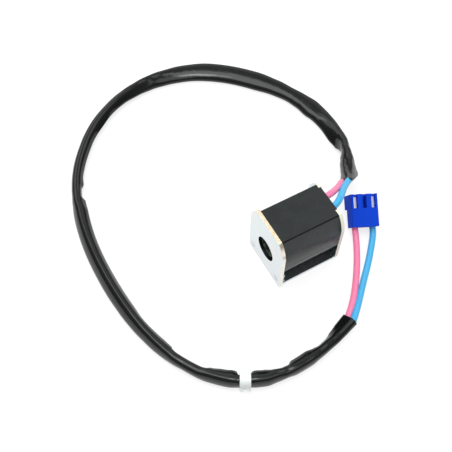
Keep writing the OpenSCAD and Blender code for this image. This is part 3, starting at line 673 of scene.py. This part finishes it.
class COIL_OT_plug(bpy.types.Operator):
    """Dress the plug's housing and its two contacts"""

    bl_idname = "coil.plug"
    bl_label = "Plug"

    def execute(self, context):
        c = colours()
        # Nylon housing: saturated blue with hardly any shine, and the mould's fine texture
        nylon = moulded_plastic("moulded_blue_nylon", c.plug, shine=0.015, rough=(0.4, 0.55), grit=0.5, cloud=4,
                                drift=0.08, depth=0.02)
        housing = merged_copy("connector_housing")
        round_edges(housing, sizes().plug_edge)
        self.close_slots(housing)
        even_normals(finish_piece("plug_housing", housing, [nylon], "blue_nylon", "connector_housing"))
        # Tinned brass strip: bright, with faint scuffs
        tin = plain_metal("tinned_brass_strip", c.tin, rough=(0.22, 0.4), grain=0.8, dent=0.02, metal=0.4)
        for lead in LEADS:
            contact = merged_copy(f"{lead}_contact")
            round_edges(contact, sizes().contact_edge, segments=1)
            even_normals(finish_piece(f"{lead}_crimp_contact", contact, [tin], "tinned_contact", f"{lead}_contact"))
        return {"FINISHED"}

    def close_slots(self, housing):
        """Low bars across the mating end of the three slots, which lie over the two contacts and between them."""
        wide, along, up = PLUG_TILT.to_matrix().col
        end = max(v.co.dot(along) for v in housing.verts)
        top = max(v.co.dot(up) for v in housing.verts)
        middles = []
        for lead in LEADS:
            spots = [v.co.dot(wide) for v in NODES[f"{lead}_contact"].data.vertices]
            middles.append((min(spots) + max(spots)) / 2)
        size = Vector(SLOT_BAR) * MM
        for middle in (*middles, sum(middles) / 2):
            centre = wide * middle + along * (end - size.y / 2) + up * (top - SLOT_BAR_DEEP * MM - size.z / 2)
            bmesh.ops.create_cube(housing, size=1, matrix=Matrix.LocRotScale(centre, PLUG_TILT, size))


class COIL_OT_sleeve(bpy.types.Operator):
    """Roll the sleeve along its route, with its folds and necks, and close the tie around it"""

    bl_idname = "coil.sleeve"
    bl_label = "Sleeve and tie"

    def execute(self, context):
        stations = sleeve_stations(SLEEVE_STEP)
        last = len(stations) - 1
        shape = bmesh.new()
        # A flat grid, one row of corners for each station, is rolled up and joined along its seam
        bmesh.ops.create_grid(shape, x_segments=last, y_segments=SLEEVE_SIDES, size=0.5, calc_uvs=True)
        for vertex in shape.verts:
            distance, station = stations[round((vertex.co.x + 0.5) * last)]
            spot = station.outline(round((vertex.co.y + 0.5) * SLEEVE_SIDES))
            cut_back = MOUTH_SLOPE * max(0, -spot.x - MOUTH_FROM) - MOUTH_TILT * spot.y
            cut_back *= max(0, 1 - distance / MOUTH_FADE)
            vertex.co = station.at(spot) + station.tangent * cut_back * MM
        bmesh.ops.remove_doubles(shape, verts=shape.verts, dist=WELD)
        bmesh.ops.recalc_face_normals(shape, faces=shape.faces)
        sleeve = finish_piece("lead_sleeve_tube", shape, [sleeve_vinyl()], "black_sleeve_vinyl", "lead_sleeve")
        wall = sleeve.modifiers.new("wall", "SOLIDIFY")
        wall.thickness = sizes().sleeve_wall
        wall.offset = -1
        tie = self.close_tie(stations)
        return {"FINISHED"}

    def close_tie(self, stations):
        """The tie's band, closed around the sleeve's outline, with its head low on the near side."""
        here, there = metres(SLEEVE_ROUTE[TIE_AT:TIE_AT + 2])
        place = (here + there) / 2
        station = min((s for _, s in stations), key=lambda s: (s.middle - place).xy.length)
        half_w = sizes().tie_w / MM / 2
        thick = sizes().tie_t / MM
        # The band's cross section, as places along the sleeve and out from it
        corners = [(-half_w, 0), (half_w, 0), (half_w, thick), (-half_w, thick)]
        shape = bmesh.new()
        bmesh.ops.create_grid(shape, x_segments=BAND_SIDES, y_segments=len(corners), size=0.5)
        for vertex in shape.verts:
            turn = math.tau * (vertex.co.x + 0.5)
            along, out = corners[round((vertex.co.y + 0.5) * len(corners)) % len(corners)]
            spot = oval(station.half + out, OVAL_HALF + out, turn)
            spot.rotate(Matrix.Rotation(station.stand, 2))
            vertex.co = station.at(spot) + station.tangent * along * MM
        bmesh.ops.remove_doubles(shape, verts=shape.verts, dist=WELD)
        bmesh.ops.recalc_face_normals(shape, faces=shape.faces)
        # The head: a block that stands out from the band, in two halves beside its notch
        facing = math.radians(180 + HEAD_TURN)
        outward = (station.inward * math.cos(facing) + station.upward * math.sin(facing)).normalized()
        turned = Matrix((station.tangent, outward, station.tangent.cross(outward))).transposed().to_4x4()
        wide = half_w - HEAD_NOTCH / 2
        deep = thick + HEAD_OUT
        size = Matrix.Diagonal((wide * MM, deep * MM, HEAD_HIGH * MM, 1))
        for side in (-1, 1):
            middle = (station.middle + outward * (OVAL_HALF + deep / 2) * MM
                      + station.tangent * side * (half_w - wide / 2) * MM)
            bmesh.ops.create_cube(shape, size=1, matrix=Matrix.Translation(middle) @ turned @ size)
        round_edges(shape, TIE_ROUND * MM, segments=3)
        # Nylon: white, slightly clear, with a soft gloss
        nylon = moulded_plastic("moulded_white_nylon", colours().tie, shine=0.5, rough=(0.35, 0.5), grit=0.8, cloud=3,
                                drift=0.04, depth=0.02)
        return finish_piece("cable_tie_band", shape, [nylon], "white_nylon", "cable_tie")


class COIL_OT_leads(bpy.types.Operator):
    """Lay the two leads from the coil through the sleeve to the plug"""

    bl_idname = "coil.leads"
    bl_label = "Leads"

    def execute(self, context):
        c = colours()
        stations = [s for _, s in sleeve_stations(LEAD_STEP)]
        leads = [("pink", PINK_BEFORE, PINK_AFTER, -1, c.pink), ("blue", BLUE_BEFORE, BLUE_AFTER, 1, c.blue)]
        for name, before, after, side, base in leads:
            inside = [s.at(Vector((math.cos(s.stand), math.sin(s.stand))) * side * PAIR_OFF) for s in stations]
            points = smooth_line(metres(before) + inside[1:] + metres(after), LEAD_STEP * MM)
            wire = self.draw_wire(f"{name}_lead_wire", points)
            wire.data.materials.append(insulation(f"{name}_vinyl_insulation", base))
            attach(wire, BODY)
            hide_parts(f"{name}_lead")
        return {"FINISHED"}

    def draw_wire(self, name, points):
        """A round wire through the points, closed at both ends."""
        line = bpy.data.curves.new(name, "CURVE")
        line.dimensions = "3D"
        line.bevel_depth = sizes().lead_d / 2
        line.bevel_resolution = LEAD_FACETS
        line.use_fill_caps = True
        spline = line.splines.new("POLY")
        spline.points.add(len(points) - 1)
        for target, point in zip(spline.points, points):
            target.co = (*point, 1)
        spline.use_smooth = True
        wire = bpy.data.objects.new(name, line)
        bpy.context.scene.collection.objects.link(wire)
        return wire


class COIL_OT_stage(bpy.types.Operator):
    """Set the floor, the soft lamps, the sky and the camera"""

    bl_idname = "coil.stage"
    bl_label = "Stage"

    def execute(self, context):
        scene = context.scene
        scene.view_settings.view_transform = "Standard"
        self.lay_floor(scene)
        self.hang_lamps(scene)
        self.paint_sky(scene)
        self.place_camera(scene)
        return {"FINISHED"}

    def lay_floor(self, scene):
        """A pale floor, which the camera and reflections see as white with a faint shadow."""
        shape = bmesh.new()
        bmesh.ops.create_grid(shape, x_segments=1, y_segments=1, size=FLOOR_HALF)
        mesh = bpy.data.meshes.new("floor")
        shape.to_mesh(mesh)
        shape.free()
        floor = bpy.data.objects.new("floor", mesh)
        scene.collection.objects.link(floor)
        made = bpy.data.materials.new("pale_floor")
        made.use_nodes = True
        tree = made.node_tree
        tree.nodes.clear()
        rays = add(tree, "ShaderNodeLightPath").outputs
        mirrored = add(tree, "ShaderNodeMath", {0: rays["Is Glossy Ray"], 1: rays["Is Transmission Ray"]},
                       operation="MAXIMUM")
        seen = add(tree, "ShaderNodeMath", {0: rays["Is Camera Ray"], 1: mirrored.outputs["Value"]},
                   operation="MAXIMUM")
        plain = add(tree, "ShaderNodeBsdfDiffuse", {"Color": rgba(colours().floor)})
        shaded = add(tree, "ShaderNodeBsdfDiffuse", {"Color": (FLOOR_SHADE, FLOOR_SHADE, FLOOR_SHADE, 1)})
        white = add(tree, "ShaderNodeEmission", {"Color": (1, 1, 1, 1), "Strength": FLOOR_GLOW})
        bright = add(tree, "ShaderNodeAddShader", {0: shaded.outputs["BSDF"], 1: white.outputs["Emission"]})
        either = add(tree, "ShaderNodeMixShader", {0: seen.outputs["Value"], 1: plain.outputs["BSDF"],
                                                   2: bright.outputs["Shader"]})
        add(tree, "ShaderNodeOutputMaterial", {"Surface": either.outputs["Shader"]})
        mesh.materials.append(made)

    def hang_lamps(self, scene):
        """Soft square lamps around the object, which all point at its middle."""
        for name, heading, height, away, side, power in LAMPS:
            turn = HEADING + math.radians(heading)
            rise = math.radians(height)
            towards = Vector((math.sin(turn) * math.cos(rise), -math.cos(turn) * math.cos(rise), math.sin(rise)))
            lamp = bpy.data.lights.new(name, "AREA")
            lamp.size = side
            lamp.energy = power
            held = bpy.data.objects.new(name, lamp)
            held.location = LOOK_AT + towards * away
            held.rotation_euler = (-towards).to_track_quat("-Z", "Y").to_euler()
            scene.collection.objects.link(held)

    def paint_sky(self, scene):
        """A dim dome that brightens upwards, with a paler wall behind the object, above the horizon."""
        scene.world = bpy.data.worlds.new("plain_sky")
        scene.world.use_nodes = True
        tree = scene.world.node_tree
        around = add(tree, "ShaderNodeTexCoord").outputs["Generated"]
        rise = add(tree, "ShaderNodeSeparateXYZ", {"Vector": around}).outputs["Z"]
        dome = add(tree, "ShaderNodeMapRange", {"Value": rise, "To Min": SKY_LOW, "To Max": SKY_HIGH})
        behind = add(tree, "ShaderNodeVectorMath", {0: around, 1: (-math.sin(HEADING), math.cos(HEADING), 0)},
                     operation="DOT_PRODUCT")
        wall = add(tree, "ShaderNodeMapRange", {"Value": behind.outputs["Value"], "From Min": 0.5, "From Max": 0.95,
                                                "To Max": SKY_FAR})
        lit = add(tree, "ShaderNodeMapRange", {"Value": rise, "From Min": 0.1, "From Max": 0.45})
        glow = add(tree, "ShaderNodeMath", {0: wall.outputs["Result"], 1: lit.outputs["Result"],
                                            2: dome.outputs["Result"]}, operation="MULTIPLY_ADD")
        fill(tree, tree.nodes["Background"], {"Color": (1, 1, 1, 1), "Strength": glow.outputs["Value"]})

    def place_camera(self, scene):
        """The camera, which looks down at the middle of the loop."""
        camera = bpy.data.cameras.new("photo_camera")
        camera.sensor_width = SENSOR
        camera.lens = SENSOR * FOCAL_PIXELS / PHOTO_SIDE
        view = Vector((-math.sin(HEADING) * math.cos(ELEVATION), math.cos(HEADING) * math.cos(ELEVATION),
                       -math.sin(ELEVATION)))
        eye = bpy.data.objects.new("photo_camera", camera)
        eye.location = LOOK_AT - view * DISTANCE
        eye.rotation_euler = view.to_track_quat("-Z", "Y").to_euler()
        scene.collection.objects.link(eye)
        scene.camera = eye


class COIL_PT_panel(bpy.types.Panel):
    """Lists the steps that dress the coil, with its sizes and colours"""

    bl_label = "Reversing valve coil"
    bl_idname = "COIL_PT_panel"
    bl_space_type = "VIEW_3D"
    bl_region_type = "UI"
    bl_category = "Coil"

    def draw(self, context):
        for step in STEPS:
            self.layout.operator(step.bl_idname)
        for group in (context.scene.coil_sizes, context.scene.coil_colours):
            box = self.layout.box()
            for name in group.__annotations__:
                box.prop(group, name)


STEPS = (COIL_OT_front_plate, COIL_OT_bracket, COIL_OT_moulding, COIL_OT_inner_parts, COIL_OT_plug, COIL_OT_sleeve,
         COIL_OT_leads, COIL_OT_stage)
CLASSES = (CoilSizes, CoilColours, *STEPS, COIL_PT_panel)


def register():
    for item in CLASSES:
        bpy.utils.register_class(item)
    bpy.types.Scene.coil_sizes = bpy.props.PointerProperty(type=CoilSizes)
    bpy.types.Scene.coil_colours = bpy.props.PointerProperty(type=CoilColours)


def unregister():
    del bpy.types.Scene.coil_colours
    del bpy.types.Scene.coil_sizes
    for item in reversed(CLASSES):
        bpy.utils.unregister_class(item)


def main():
    register()
    bpy.ops.coil.front_plate()
    bpy.ops.coil.bracket()
    bpy.ops.coil.moulding()
    bpy.ops.coil.inner_parts()
    bpy.ops.coil.plug()
    bpy.ops.coil.sleeve()
    bpy.ops.coil.leads()
    bpy.ops.coil.stage()
    bpy.context.view_layer.update()


if __name__ == "__main__":
    main()
